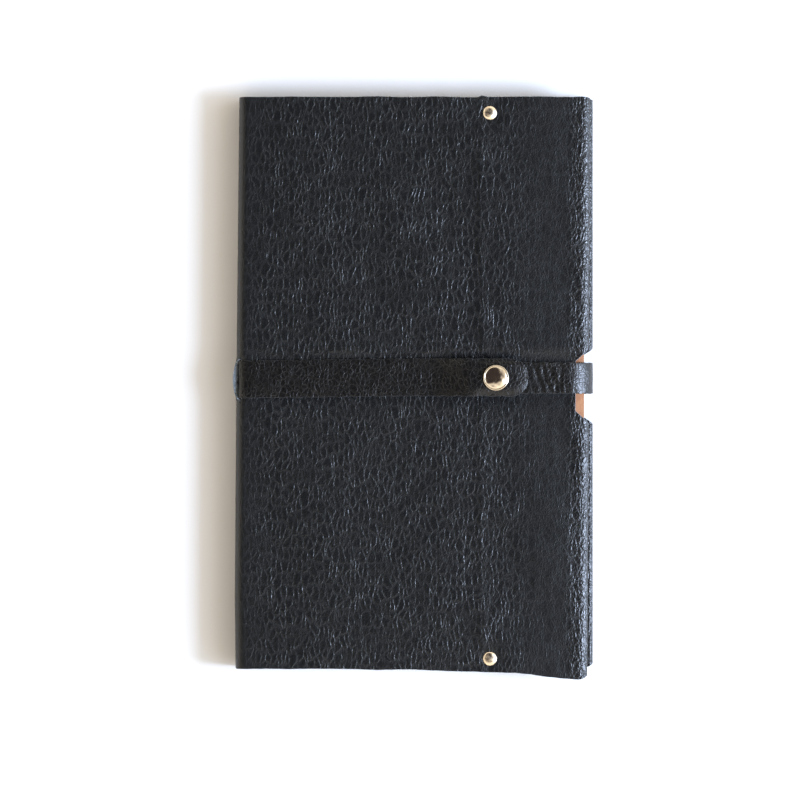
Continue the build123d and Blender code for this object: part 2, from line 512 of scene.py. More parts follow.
def principled(name: str, settings: dict) -> tuple[bpy.types.Material, bpy.types.Node]:
    """Starts a material.

    Args:
        name: the real material's name.
        settings: values that are the same all over the surface.

    Returns:
        The material and its shader node.
    """
    material = bpy.data.materials.new(name)
    material.use_nodes = True
    tree = material.node_tree
    tree.nodes.clear()
    shader = add_node(tree, "ShaderNodeBsdfPrincipled", {}, settings)
    add_node(tree, "ShaderNodeOutputMaterial", {}, {"Surface": shader.outputs[0]})
    return material, shader


@dataclass(frozen=True)
class GrainLeather:
    """Drum-dyed, tumbled cow leather: soft pebbles between fine creases, with a low waxy sheen.

    Attributes:
        name: the material's name.
        pebble: colour on top of the pebbles.
        crease: colour down in the creases, a little paler than the pebbles: a painted highlight
            where light catches the crease walls.
        long_mm: width and length of the long cells that the main creases bound.
        net_mm: width and length of the small cells inside them.
        crease_mm: width of a main crease's wall.
        depth_mm: depth of a main crease.
        roughness: roughness on top of the pebbles.
        shift: moves the pattern, so that no two pieces share it.
        calm: share of the depth left where the hide was stretched smooth.
        full_mm: along the hide, where the grain starts, is full, starts to fade and is calm.
        fold_mm: along the hide, where the fold's sharper pebbles start and are full.
        drift_mm: length over which the creases wander.
        wander_mm: how far they wander, across and along.
        patch_mm: length over which they come and go.
        pore_mm: size of pores and hair cells.
    """

    name: str
    pebble: str = "0F1113"
    # The crease colour is paler than the pebble colour: painted highlight on the crease walls.
    crease: str = "17191B"
    long_mm: Point = (2.0, 5.0)
    net_mm: Point = (1.0, 1.35)
    crease_mm: float = 0.5
    depth_mm: float = 0.1
    roughness: float = 0.29
    shift: float = 0.0
    calm: float = 0.25
    full_mm: tuple[float, float, float, float] = (3.0, 18.0, 104.0, 126.0)
    fold_mm: Point = (131.0, 137.0)
    drift_mm: float = 7.0
    wander_mm: Point = (3.2, 4.4)
    patch_mm: float = 9.0
    pore_mm: float = 0.3

    def _cells(self, tree: bpy.types.NodeTree, where: bpy.types.NodeSocket, size: Point,
               wall: float) -> bpy.types.NodeSocket:
        """Cells with creases between them.

        Args:
            tree: the material's tree.
            where: positions on the hide, in metres.
            size: a cell's width and length, in millimetres.
            wall: the width of a crease's wall, in millimetres.

        Returns:
            A height from 0 in a crease to 1 on a cell.
        """
        scale = (1 / (size[0] * MM), 1 / (size[1] * MM), 1)
        laid = add_node(tree, "ShaderNodeMapping", {}, {
            "Vector": where, "Location": (self.shift, self.shift * 0.7, 0), "Scale": scale})
        cell = add_node(tree, "ShaderNodeTexVoronoi", {
            "voronoi_dimensions": "2D", "feature": "DISTANCE_TO_EDGE"}, {
            "Vector": laid.outputs[0], "Scale": 1.0, "Randomness": 1.0})
        wall_share = wall / (size[0] * 0.9)
        return add_node(tree, "ShaderNodeMapRange", {"interpolation_type": "SMOOTHSTEP"}, {
            0: cell.outputs["Distance"], 1: 0.0, 2: wall_share, 3: 0.0, 4: 1.0}).outputs[0]

    def build(self) -> bpy.types.Material:
        """Makes the material.

        Returns:
            The material, which reads its piece's grain positions.
        """
        # Aniline-dyed grain with a thin wax: dielectric, near black, with a broad soft gloss.
        material, shader = principled(self.name, {"IOR": 1.5})
        tree = material.node_tree
        seat = add_node(tree, "ShaderNodeUVMap", {"uv_map": "grain"})
        # The creases wander by about a pebble to either side.
        drift = add_node(tree, "ShaderNodeTexNoise", {"noise_dimensions": "2D"}, {
            "Vector": seat.outputs[0], "Scale": 1 / (self.drift_mm * MM), "Detail": 3.0,
            "Roughness": 0.6})
        wander = (self.wander_mm[0] * MM, self.wander_mm[1] * MM, 0)
        offset = add_node(tree, "ShaderNodeVectorMath", {"operation": "MULTIPLY_ADD"}, {
            0: drift.outputs["Color"], 1: wander, 2: seat.outputs[0]})
        long_cells = self._cells(tree, offset.outputs[0], self.long_mm, self.crease_mm)
        net = self._cells(tree, offset.outputs[0], self.net_mm, self.crease_mm * 0.7)
        # Creases come and go along their length, more so where the hide was tumbled less.
        patch = add_node(tree, "ShaderNodeTexNoise", {"noise_dimensions": "2D"}, {
            "Vector": seat.outputs[0], "Scale": 1 / (self.patch_mm * MM), "Detail": 3.0,
            "Roughness": 0.62})
        hard = add_node(tree, "ShaderNodeMapRange", {"interpolation_type": "SMOOTHSTEP"}, {
            0: patch.outputs[0], 1: 0.3, 2: 0.58, 3: 0.35, 4: 1.0})
        parts = add_node(tree, "ShaderNodeSeparateXYZ", {}, {0: seat.outputs[0]})
        begin, whole, fade, end = (value * MM for value in self.full_mm)
        rising = add_node(tree, "ShaderNodeMapRange", {"interpolation_type": "SMOOTHSTEP"}, {
            0: parts.outputs[0], 1: begin, 2: whole, 3: self.calm, 4: 1.0})
        falling = add_node(tree, "ShaderNodeMapRange", {"interpolation_type": "SMOOTHSTEP"}, {
            0: parts.outputs[0], 1: fade, 2: end, 3: 1.0, 4: self.calm})
        place = add_node(tree, "ShaderNodeMath", {"operation": "MULTIPLY"}, {
            0: rising.outputs[0], 1: falling.outputs[0]})
        force = add_node(tree, "ShaderNodeMath", {"operation": "MULTIPLY"}, {
            0: hard.outputs[0], 1: place.outputs[0]})
        pores = add_node(tree, "ShaderNodeTexNoise", {"noise_dimensions": "2D"}, {
            "Vector": seat.outputs[0], "Scale": 1 / (self.pore_mm * MM), "Detail": 2.0})
        # Creases and pebbles stand up more where the hide is stretched over its fold.
        fold = add_node(tree, "ShaderNodeMapRange", {"interpolation_type": "SMOOTHSTEP"}, {
            0: parts.outputs[0], 1: self.fold_mm[0] * MM, 2: self.fold_mm[1] * MM, 3: 0.0, 4: 1.0})
        deep = add_node(tree, "ShaderNodeMath", {"operation": "MULTIPLY_ADD"}, {
            0: fold.outputs[0], 1: 0.9, 2: force.outputs[0]})
        main = add_node(tree, "ShaderNodeMath", {"operation": "MULTIPLY"}, {
            0: long_cells, 1: deep.outputs[0]})
        standing = add_node(tree, "ShaderNodeMath", {"operation": "MULTIPLY_ADD"}, {
            0: fold.outputs[0], 1: 0.25, 2: 0.38})
        with_net = add_node(tree, "ShaderNodeMath", {"operation": "MULTIPLY_ADD"}, {
            0: net, 1: standing.outputs[0], 2: main.outputs[0]})
        height = add_node(tree, "ShaderNodeMath", {"operation": "MULTIPLY_ADD"}, {
            0: pores.outputs[0], 1: 0.16, 2: with_net.outputs[0]})
        bump = add_node(tree, "ShaderNodeBump", {}, {
            "Strength": 1.0, "Distance": self.depth_mm * MM, "Height": height.outputs[0]})
        tree.links.new(bump.outputs[0], shader.inputs["Normal"])
        # The creases get the paler colour: a painted highlight where light catches their walls.
        colour = add_node(tree, "ShaderNodeMix", {"data_type": "RGBA"}, {
            0: long_cells, 6: linear(self.crease), 7: linear(self.pebble)})
        tint = add_node(tree, "ShaderNodeMapRange", {}, {
            0: patch.outputs[0], 1: 0.3, 2: 0.7, 3: 0.8, 4: 1.2})
        shade = add_node(tree, "ShaderNodeVectorMath", {"operation": "SCALE"}, {
            0: colour.outputs[2], "Scale": tint.outputs[0]})
        tree.links.new(shade.outputs[0], shader.inputs["Base Color"])
        dull = add_node(tree, "ShaderNodeMapRange", {}, {
            0: height.outputs[0], 1: 0.1, 2: 1.4, 3: self.roughness + 0.12, 4: self.roughness})
        tree.links.new(dull.outputs[0], shader.inputs["Roughness"])
        return material


@dataclass(frozen=True)
class FibreSurface:
    """A matt surface of short fibres: suede, a cut edge of leather, card, paper or thread.

    Attributes:
        name: the material's name.
        dark: its darker colour.
        light: its lighter colour.
        fibre_mm: a fibre's usual width and length.
        depth_mm: how far fibres stand out.
        roughness: its roughness.
        sheen: its sheen, from the nap.
        axes: which way fibres run, as scale along x, y and z.
        cloud_mm: size of the paler and darker patches.
    """

    name: str
    dark: str
    light: str
    fibre_mm: float
    depth_mm: float
    roughness: float
    sheen: float = 0.0
    axes: tuple[float, float, float] = (1.0, 1.0, 1.0)
    cloud_mm: float = 6.0

    def build(self) -> bpy.types.Material:
        """Makes the material.

        Returns:
            The material, which reads object positions.
        """
        material, shader = principled(self.name, {"IOR": 1.5, "Roughness": self.roughness,
                                                  "Sheen Weight": self.sheen})
        tree = material.node_tree
        seat = add_node(tree, "ShaderNodeTexCoord")
        laid = add_node(tree, "ShaderNodeMapping", {}, {
            "Vector": seat.outputs["Object"], "Scale": self.axes})
        fibre = add_node(tree, "ShaderNodeTexNoise", {}, {
            "Vector": laid.outputs[0], "Scale": 1 / (self.fibre_mm * MM), "Detail": 4.0,
            "Roughness": 0.65})
        cloud = add_node(tree, "ShaderNodeTexNoise", {}, {
            "Vector": seat.outputs["Object"], "Scale": 1 / (self.cloud_mm * MM), "Detail": 2.0})
        both = add_node(tree, "ShaderNodeMath", {"operation": "MULTIPLY_ADD"}, {
            0: cloud.outputs[0], 1: 0.4, 2: fibre.outputs[0]})
        share = add_node(tree, "ShaderNodeMapRange", {}, {
            0: both.outputs[0], 1: 0.45, 2: 0.95, 3: 0.0, 4: 1.0})
        colour = add_node(tree, "ShaderNodeMix", {"data_type": "RGBA"}, {
            0: share.outputs[0], 6: linear(self.dark), 7: linear(self.light)})
        tree.links.new(colour.outputs[2], shader.inputs["Base Color"])
        bump = add_node(tree, "ShaderNodeBump", {}, {
            "Strength": 1.0, "Distance": self.depth_mm * MM, "Height": fibre.outputs[0]})
        tree.links.new(bump.outputs[0], shader.inputs["Normal"])
        return material


@dataclass(frozen=True)
class PlatedBrass:
    """Brass, stamped and plated pale gold, then barrel polished: a clear mirror with hairlines.

    Attributes:
        name: the material's name.
        colour: its reflection colour.
        roughness: its usual roughness.
        wave_mm: length of the waves that stamping left.
        wave_depth_mm: their depth.
        bright: its reflection colour where it's least smeared.
        smear_mm: size of the faint smears that handling leaves.
    """

    name: str = "Plated brass"
    colour: str = "EBDCC2"
    roughness: float = 0.1
    wave_mm: float = 3.0
    wave_depth_mm: float = 0.25
    bright: str = "F7EEDD"
    smear_mm: float = 1.5

    def build(self) -> bpy.types.Material:
        """Makes the material.

        Returns:
            The material, which reads object positions.
        """
        material, shader = principled(self.name, {"Metallic": 1.0})
        tree = material.node_tree
        seat = add_node(tree, "ShaderNodeTexCoord")
        smear = add_node(tree, "ShaderNodeTexNoise", {}, {
            "Vector": seat.outputs["Object"], "Scale": 1 / (self.smear_mm * MM), "Detail": 3.0})
        dull = add_node(tree, "ShaderNodeMapRange", {}, {
            0: smear.outputs[0], 1: 0.3, 2: 0.75, 3: self.roughness * 0.6, 4: self.roughness * 1.9})
        tree.links.new(dull.outputs[0], shader.inputs["Roughness"])
        tone = add_node(tree, "ShaderNodeMix", {"data_type": "RGBA"}, {
            0: smear.outputs[0], 6: linear(self.bright), 7: linear(self.colour)})
        tree.links.new(tone.outputs[2], shader.inputs["Base Color"])
        # A stamped dome is never quite true, and a rivet's keeps the marks of its setter.
        wave = add_node(tree, "ShaderNodeTexNoise", {}, {
            "Vector": seat.outputs["Object"], "Scale": 1 / (self.wave_mm * MM), "Detail": 1.0})
        bump = add_node(tree, "ShaderNodeBump", {}, {
            "Strength": 1.0, "Distance": self.wave_depth_mm * MM, "Height": wave.outputs[0]})
        tree.links.new(bump.outputs[0], shader.inputs["Normal"])
        return material


class Palette:
    """Every finish, each made once."""

    def __init__(self) -> None:
        """Makes the materials."""
        self.hide_front = GrainLeather("Tumbled cow leather, front").build()
        self.hide_back = GrainLeather("Tumbled cow leather, back", shift=3.7).build()
        # The belt's creases are painted a little paler than its pebbles as well: painted highlight.
        self.belt_grain = GrainLeather(
            "Tumbled cow leather, belt", pebble="080809", crease="0D0D0E", long_mm=(1.7, 2.3),
            net_mm=(1.0, 1.2), crease_mm=0.4, depth_mm=0.065, roughness=0.3, shift=8.3,
            calm=1.0, fold_mm=(900.0, 901.0)).build()
        # The flesh side is split and lightly buffed, so it has a short dark nap.
        self.suede = FibreSurface("Leather flesh side", "1B1D20", "33363A", 0.35, 0.12, 0.95,
                                  0.15).build()
        # A knife leaves pale open fibres where the dye did not reach.
        self.cut_edge = FibreSurface("Cut leather edge", "30383F", "8E98A2", 0.6, 0.2, 0.9,
                                     0.1).build()
        # The belt's edges were rubbed down and dyed after cutting.
        self.dyed_edge = FibreSurface("Dyed leather edge", "17181A", "2C2F33", 0.3, 0.1, 0.75,
                                      0.05).build()
        self.brass = PlatedBrass().build()
        self.set_brass = PlatedBrass("Plated brass, hammer set", "EED9B4", 0.27, 2.4, 0.4).build()
        # Unbleached kraft board, calendered, with stray long fibres.
        self.kraft = FibreSurface("Kraft board", "A06F50", "BF8B66", 0.5, 0.02, 0.85, 0.0,
                                  (1.0, 0.35, 1.0)).build()
        # Uncoated book paper: pale cream, nearly smooth.
        self.paper = FibreSurface("Uncoated paper", "BDB39E", "CBC1AC", 0.4, 0.01, 0.9).build()
        # Two-ply waxed linen.
        self.linen = FibreSurface("Waxed linen thread", "B7A98C", "E2D8C0", 0.15, 0.04, 0.7,
                                  0.1).build()


# ---------------------------------------------------------------- the belt


@dataclass
class Belt:
    """One strap: from the narrow tongue, round the fore edge, under the back, through the spine's
    two slits and over the front to the tab that carries the snap's cap.

    Attributes:
        narrow: width of the tongue and of the run under the back cover.
        wide: width of the run on the front cover.
        tongue_end_x: where the tongue ends, under the tab.
        tab_end_x: where the tab ends.
        tongue_z: top of the tongue at the snap.
        tab_z: top of the tab at the snap.
        outside_x: outside of the strap where it passes the fore edge.
        bend_x: where the tongue starts to bend down to the fore edge.
        under_x: where the strap has come round to the run under the back cover.
        side_z: where it stands furthest out.
        front_z: top of the run on the front cover.
        nominal_half: half width that its waves and its grain are laid out for.
        grain_from: where its own stretch of the grain pattern starts.
        profile: its line in XZ, from the tongue's end to the tab's.
        cuts: lengths along it where it is split between bodies.
    """

    narrow: float = 11.8
    wide: float = 14.4
    tongue_end_x: float = 19.5
    tab_end_x: float = 44.3
    tongue_z: float = 13.7
    tab_z: float = 17.1
    outside_x: float = 70.2
    bend_x: float = 60.0
    under_x: float = 65.2
    side_z: float = 4.5
    front_z: float = 13.4
    nominal_half: float = 7.0
    grain_from: Point = (300.0, 40.0)
    profile: Profile = field(init=False)
    cuts: dict[str, float] = field(init=False)

    def __post_init__(self) -> None:
        """Lays the strap's line and marks where it is split between bodies."""
        reach = self.outside_x - self.bend_x
        over = rounded([(self.tongue_end_x, 13.8), (26.0, 13.72), (36.0, 13.7), (46.0, 13.78),
                        (54.0, 13.74), (self.bend_x, self.tongue_z)])
        over += arc((self.bend_x, self.side_z), (reach, self.tongue_z - self.side_z), 90, 0)
        over += arc((self.under_x, self.side_z), (self.outside_x - self.under_x, self.side_z),
                    0, -90, 2.2)
        root = [(-68.08, 6.7), (-68.1, 8.0), (-68.45, 9.4), (-68.75, 10.6), (-68.3, 11.9),
                (-66.6, 12.9), (-63.5, 13.33), (-59.5, self.front_z), (-55.0, self.front_z)]
        under = [(x, 2 * MIDDLE_Z - z) for x, z in reversed(root)]
        climb = self.tab_z - self.front_z
        tab = [(3.0, self.front_z)]
        tab += [(x, self.front_z + climb * float(ramp(6.0, 25.0, np.array(x))))
                for x in (7.0, 10.0, 13.0, 16.0, 19.0, 22.0)]
        tab += [(26.5, self.tab_z), (31.7, self.tab_z), (36.6, self.tab_z - 0.03), (40.0, 16.85),
                (42.6, 16.5), (self.tab_end_x, 16.2)]
        line = over + rounded([(50.0, 0.0), (20.0, 0.0), (-25.0, 0.0)] + under[:-1])
        run = [(-50.0, self.front_z), (-3.0, self.front_z)]
        self.profile = Profile(line + rounded(root) + rounded(run + tab))
        self.cuts = {
            "wrap": self.profile.nearest(self.outside_x, self.side_z + 0.8),
            "under": self.profile.nearest(-50.0, 0.0),
            "spine": self.profile.nearest(-68.08, MIDDLE_Z),
            "front": self.profile.nearest(-3.0, self.front_z),
        }

    def middle(self, s: Array) -> Array:
        """The strap's middle, as y, at lengths along it."""
        stops = [0, self.profile.nearest(40, 13.7), self.cuts["wrap"], self.cuts["under"],
                 self.cuts["spine"], self.cuts["front"], self.profile.nearest(31.7, self.tab_z),
                 self.profile.length]
        return np.interp(s, stops, [4.1, 3.95, 3.9, 3.5, 3.3, 4.2, 4.15, 4.05])

    def half_width(self, s: Array) -> Array:
        """Half the strap's width at lengths along it, with both ends rounded."""
        widen = ramp(self.profile.nearest(-20, 0), self.profile.nearest(-48, 0), s)
        half = (self.narrow + (self.wide - self.narrow) * widen) / 2
        for end, corner in ((0.0, 4.5), (self.profile.length, 6.6)):
            gap = np.clip(1 - np.abs(s - end) / corner, 0, 1)
            half -= corner * (1 - np.sqrt(1 - gap * gap))
        return half

    def relief(self, s: Array, v: Array, x: Array) -> Array:
        """How far the strap's surface stands off its line.

        Args:
            s: lengths along the strap.
            v: place across it, from -1 to 1.
            x: where that is in the row frame.

        Returns:
            Heights in millimetres.
        """
        y = v * self.nominal_half
        rise = 0.07 * Waves(13, 9, 41).at(s, y) + 0.035 * Waves(4, 5, 43).at(s, y)
        edge = np.abs(v) ** 4
        rise -= 0.12 * edge
        on_tab = s > self.cuts["front"]
        near_snap = on_tab * plateau((18, 27), (37, 44), x)
        rise -= near_snap * 0.75 * ramp(0.55, 1.05, np.abs(v))
        lift = on_tab * bell(x - 12, 14) + (s < self.cuts["wrap"]) * bell(x - 51, 6)
        rise += 0.45 * lift * np.clip(v, 0, 1) ** 3
        # The tongue's bent end has slanting creases, each from one edge's x to the other's.
        tongue = (s < self.cuts["wrap"]) & (x < 61)
        for low, high in ((46.3, 50.6), (49.2, 53.3), (52.4, 55.6), (47.8, 49.0), (56.5, 57.4)):
            line_x = low + (high - low) * (1 - v) / 2 + 0.5 * np.sin(v * 3 + low)
            rise -= tongue * 0.17 * bell(x - line_x, 0.55)
            rise += tongue * 0.07 * bell(x - line_x - 1.1, 0.7)
        return rise

    def place(self, s: Array, t: Array) -> tuple[Array, Array, Array]:
        """Lays flat positions along the strap.

        Args:
            s: lengths along the strap.
            t: places across it, from -1 to 1.

        Returns:
            Outside points, outward directions and grain positions.
        """
        x, z, nx, nz = self.profile.at(s)
        ragged = 0.1 * Waves(5, 5, 47).at(s, 3 * t) * np.abs(t) ** 8
        y = self.middle(s) + t * self.half_width(s) + ragged
        rise = self.relief(s, t, x)
        points = np.stack([x + nx * rise, y, z + nz * rise], axis=1)
        normals = np.stack([nx, np.zeros_like(nx), nz], axis=1)
        grain = [s + self.grain_from[0], t * self.nominal_half + self.grain_from[1]]
        return points, normals, np.stack(grain, axis=1)

    def build(self, palette: Palette) -> None:
        """Makes the strap's five lengths.

        Args:
            palette: the finishes.
        """
        cuts = self.cuts
        end = self.profile.length
        coats = (palette.belt_grain, palette.suede, palette.dyed_edge)
        # Grid lines crowd towards the strap's edges.
        crowd = math.pi / 2 * 0.92
        across = np.sin(np.linspace(-1, 1, 27) * crowd) / math.sin(crowd)
        # Each length's name, its ends, its bodies, the ends of its bend in XZ and the frame's nodes
        plan = (
            ("belt_tongue", 0.0, cuts["wrap"], ("strap_tongue", "strap_wrap"),
             (62.8, 13.1), (68.9, 8.5), ("strap_tongue", "strap_wrap")),
            ("belt_back_run", cuts["wrap"], cuts["under"], ("strap_wrap", "back"),
             (68.9, 4.8), (63.4, 0.6), ("strap_back",)),
            ("belt_back_root", cuts["under"], cuts["spine"], ("back", "spine"),
             (-66.8, 1.2), (-68.6, 3.8), ("strap_spine",)),
            ("belt_front_root", cuts["spine"], cuts["front"], ("spine", "front"),
             (-68.6, 9.6), (-66.8, 12.2), ("strap_front",)),
            ("belt_tab", cuts["front"], end, ("front", "strap_tab"),
             (-1.0, 13.0), (7.0, 13.0), ("strap_tab",)),
        )
        for name, low, high, bodies, start, stop, nodes in plan:
            # Grid lines are closer on the short lengths, and closest at the strap's round ends.
            fine = 0.6 if high - low < 140 else 0.9
            marks = [(low, fine)]
            if low == 0.0:
                marks = [(low, 0.3), (5.0, fine)]
            if high == end:
                marks = [(low, fine), (end - 7.0, 0.4), (end - 1.0, 0.2)]
            seams = [value for value in (low, high) if 0 < value < end]
            skin = Skin(name, self.place, spaced(marks, high), across, seams=seams,
                        edge_bulge=0.12)
            piece = skin.build(coats)
            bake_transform(piece)
            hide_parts(*nodes)
            log.info("%s: %.1f mm of strap", name, high - low)


# ---------------------------------------------------------------- the hide


@dataclass
class Hide:
    """Half of the cover: from the middle of the spine, over a cover, round its fore edge and back
    inside as the pocket that holds the notebook.

    Attributes:
        side: front or back.
        fore_x: outside of the folded fore edge.
        belt: the strap that lies on it.
        crown: how far the soft leather stands off the board's line.
        ridge: how much higher it stands over the turned-in leather.
        turn_in_x: free edge of the turned-in leather.
        head_y: head edge.
        tail_y: tail edge.
        outside_z: outside of the front cover, before its crown.
        board: thickness of the cover and its turned-in leather together.
        step_x: where the leather climbs onto the turned-in edge.
        profile: its line in XZ, from the middle of the spine.
        fold_s: length along it at the folded fore edge.
        pocket_s: length at which the turned-in leather lies flat.
        slit: lengths between which the spine's slit is cut.
        slit_middle: the slit's middle in y.
        seeds: added to the seeds of the waves, so that the two halves differ.
    """

    side: Side
    fore_x: float
    belt: Belt
    crown: float = 0.25
    ridge: float = 0.24
    turn_in_x: float = 25.4
    head_y: float = 113.5
    tail_y: float = -109.5
    outside_z: float = 12.2
    board: float = 3.1
    step_x: Point = (22.0, 26.8)
    profile: Profile = field(init=False)
    fold_s: float = field(init=False)
    pocket_s: float = field(init=False)
    slit: Point = field(init=False)
    slit_middle: float = field(init=False)
    seeds: int = field(init=False)

    def __post_init__(self) -> None:
        """Lays the hide's line."""
        top = self.outside_z + self.crown
        high = top + self.ridge
        fold_z = self.outside_z - self.board / 2
        radius = self.board / 2
        low = self.outside_z - self.board
        line = arc((-64.6, MIDDLE_Z), (-64.6 - SPINE_X, top - MIDDLE_Z), 180, 90, 2.9)
        line += [(x, top) for x in (-50.0, 0.0, 21.5)]
        line += [(x, top + self.ridge * float(ramp(*self.step_x, np.array(x))))
                 for x in (22.5, 23.5, 24.5, 25.5, 26.5)]
        line += [(28.0, high), (50.0, high)]
        line += arc((self.fore_x - 3.9, fold_z), (3.9, high - fold_z), 90, 0, 2.0)
        line += arc((self.fore_x - radius, fold_z), (radius, radius), 0, -90)
        line += [(60.0, low), (self.turn_in_x, low)]
        self.profile = Profile(line)
        self.fold_s = self.profile.nearest(self.fore_x, fold_z)
        self.pocket_s = self.profile.nearest(self.fore_x - radius, low)
        self.slit = (self.profile.nearest(-68.1, 10.2), self.profile.nearest(-66.2, 11.4))
        self.slit_middle = float(self.belt.middle(np.array(self.belt.cuts["spine"])))
        self.seeds = 0 if self.side is Side.FRONT else 100

    def tail_edge(self, x: Array) -> Array:
        """The tail edge's y, which hangs lower at the front cover's fore corner."""
        if self.side is Side.BACK:
            return np.full_like(x, self.tail_y)
        stops = (-69, -40, 8, 19, 40, 46, 51.5, 57, 62, 68)
        edge = (-109.5, -109.3, -109.9, -110.6, -110.9, -111.5, -112.4, -113.1, -113.45, -113.5)
        return np.interp(x, stops, edge)

    def relief(self, x: Array, y: Array, s: Array) -> Array:
        """How far the hide's surface stands off its line on the cover itself.

        Args:
            x: positions across, in millimetres.
            y: positions along.
            s: lengths along the profile.

        Returns:
            Heights in millimetres.
        """
        flat = plateau((-66, -54), (self.fore_x - 9, self.fore_x - 3), x)
        # The soft leather bows up a little, in waves of three sizes.
        rise = flat * (0.17 * Waves(46, 60, 11 + self.seeds).at(x, y) + 0.1)
        for height, across, along, seed in ((0.07, 17, 24, 13), (0.04, 5.5, 17, 17)):
            rise += flat * height * Waves(across, along, seed + self.seeds).at(x, y)
        # The turned-in leather's free edge shows through as a faint ridge.
        wander = 0.5 * np.sin(y / 23 + 1)
        rise += flat * 0.16 * bell(x - 26.2 - wander, 1.3)
        # The head and tail edges are a little wavy.
        for gap, seed in ((self.head_y - y, 19), (y - self.tail_edge(x), 23)):
            waves = Waves(34, 99, seed + self.seeds).at(x, 0 * y)
            rise += flat * 0.12 * waves * np.exp(-np.abs(gap) / 7)
        rise = self._riveted(rise, x, y)
        # The belt presses the leather down to the board's line.
        belt_y = 3.4 if self.side is Side.BACK else 4.1
        pressed = 1 - ramp(6.4, 12.5, np.abs(y - belt_y))
        line_rise = self.crown + self.ridge * ramp(*self.step_x, x)
        reach = plateau((-66, -60), (self.fore_x - 6, self.fore_x - 2), x)
        rise = rise * (1 - pressed * reach) - (line_rise + 0.03) * pressed * reach
        return np.where(s < self.fold_s, rise, 0.0)

    def _riveted(self, rise: Array, x: Array, y: Array) -> Array:
        """Pulls the surface down at the rivets, with folds around them on the spine's side.

        Args:
            rise: the surface's heights before, in millimetres.
            x: positions across.
            y: positions along.

        Returns:
            The heights after.
        """
        for rx, ry in RIVETS:
            r = np.hypot(x - rx, y - ry)
            turn = np.arctan2(y - ry, x - rx)
            left = 0.35 + 0.65 * (0.5 - 0.5 * np.cos(turn))
            dimple = 1 - bell(r, 5.2)
            rise = rise * dimple - (self.crown + self.ridge) * bell(r, 4.0) * 0.96
            folds = np.cos(9 * turn + 0.5 * r + rx) + 0.6 * np.cos(5 * turn - 0.3 * r)
            rise += 0.13 * left * folds * bell(r - 5.5, 2.6)
        return rise

    def lip(self, s: Array, y: Array) -> Array:
        """How far the strap pushes the leather out or in beside its slit.

        Args:
            s: lengths along the profile.
            y: positions along the spine.

        Returns:
            Heights in millimetres.
        """
        left, right = self.slit
        span = np.clip(1 - ((y - self.slit_middle) / 9.2) ** 2, 0, 1)
        out = 1.9 * np.clip((s - left + 4.0) / 4.0, 0, 1) ** 1.8 * (s < (left + right) / 2)
        pushed = 0.75 * np.clip(1 - (s - right) / 3.0, 0, 1) ** 2 * (s >= (left + right) / 2)
        return out * span**1.2 - pushed * span**0.7

    def flare(self, s: Array, y: Array) -> Array:
        """How far the fibres have opened at the slit's worn lip, as a share of the thickness."""
        left, right = self.slit
        span = np.clip(1 - ((y - self.slit_middle) / 8.4) ** 2, 0, 1)
        worn = 0.75 + 0.2 * Waves(2.0, 3.1, 71).at(s, y)
        return worn * span * np.clip(1 - (left - s) / 1.8, 0, 1) * (s < (left + right) / 2)

    def place(self, s: Array, t: Array) -> tuple[Array, Array, Array]:
        """Lays flat positions over the cover.

        Args:
            s: lengths from the middle of the spine.
            t: nominal y.

        Returns:
            Outside points, outward directions and grain positions.
        """
        x, z, nx, nz = self.profile.at(s)
        away = ramp(0, 18, s)
        ragged = 0.1 * Waves(24, 99, 29 + self.seeds).at(s, 0 * s)
        ragged += 0.05 * Waves(5, 99, 31).at(s, 0 * s)
        tail = self.tail_edge(x) - self.tail_y
        low = (tail + ragged * away) * (1 - ramp(self.tail_y, self.tail_y + 46, t))
        bump = 0.6 * bell(s - self.profile.nearest(26.5, 12.8), 1.2) * (s < self.fold_s)
        high = (bump - ragged * away) * ramp(self.head_y - 14, self.head_y, t)
        # The fold's ends are rounded by wear.
        low += 1.5 * bell(s - self.fold_s, 2.0) * (1 - ramp(self.tail_y, self.tail_y + 9, t))
        high -= 0.5 * bell(s - self.fold_s, 1.6) * ramp(self.head_y - 9, self.head_y, t)
        y = t + low + high
        rise = self.relief(x, y, s) + self.lip(s, y)
        # The closed cover isn't quite square.
        skew = np.interp(y, (-112, -82, 20, 113), (-0.6, -0.95, -0.15, 0.85))
        slide = skew * (1 - ramp(-62, -25, x)) * (s < self.fold_s)
        if self.side is Side.FRONT:
            slide += np.interp(y, (-112, 0, 113), (-0.35, 0.3, 0.75)) * ramp(34, 62, x)
        points = np.stack([x + slide + nx * rise, y, z + nz * rise], axis=1)
        normals = np.stack([nx, np.zeros_like(nx), nz], axis=1)
        return points, normals, np.stack([s, t + 120], axis=1)

    def holes(self) -> list[list[Point]]:
        """The slit at the spine and the notch at the fore edge, in the flat leather."""
        left, right = self.slit
        middle = (left + right) / 2
        quarter = (right - left) / 4
        reaches = ((left, 6.0), (middle - quarter, 7.6), (middle, 8.0), (middle + quarter, 7.6),
                   (right, 6.0))
        slit = [(place, self.slit_middle - reach) for place, reach in reaches]
        slit += [(place, self.slit_middle + reach) for place, reach in reversed(reaches)]
        near = self.profile.nearest(62.5, self.outside_z + self.crown + self.ridge)
        far = self.profile.nearest(62.5, self.outside_z - self.board)
        notch = [(near, -9.0), (self.fold_s, -14.3), (far, -9.0), (far, 10.6),
                 (self.fold_s, 15.9), (near, 10.6)]
        return [slit, notch]

    def build(self, palette: Palette) -> bpy.types.Object:
        """Makes the hide.

        Args:
            palette: the finishes.

        Returns:
            The object.
        """
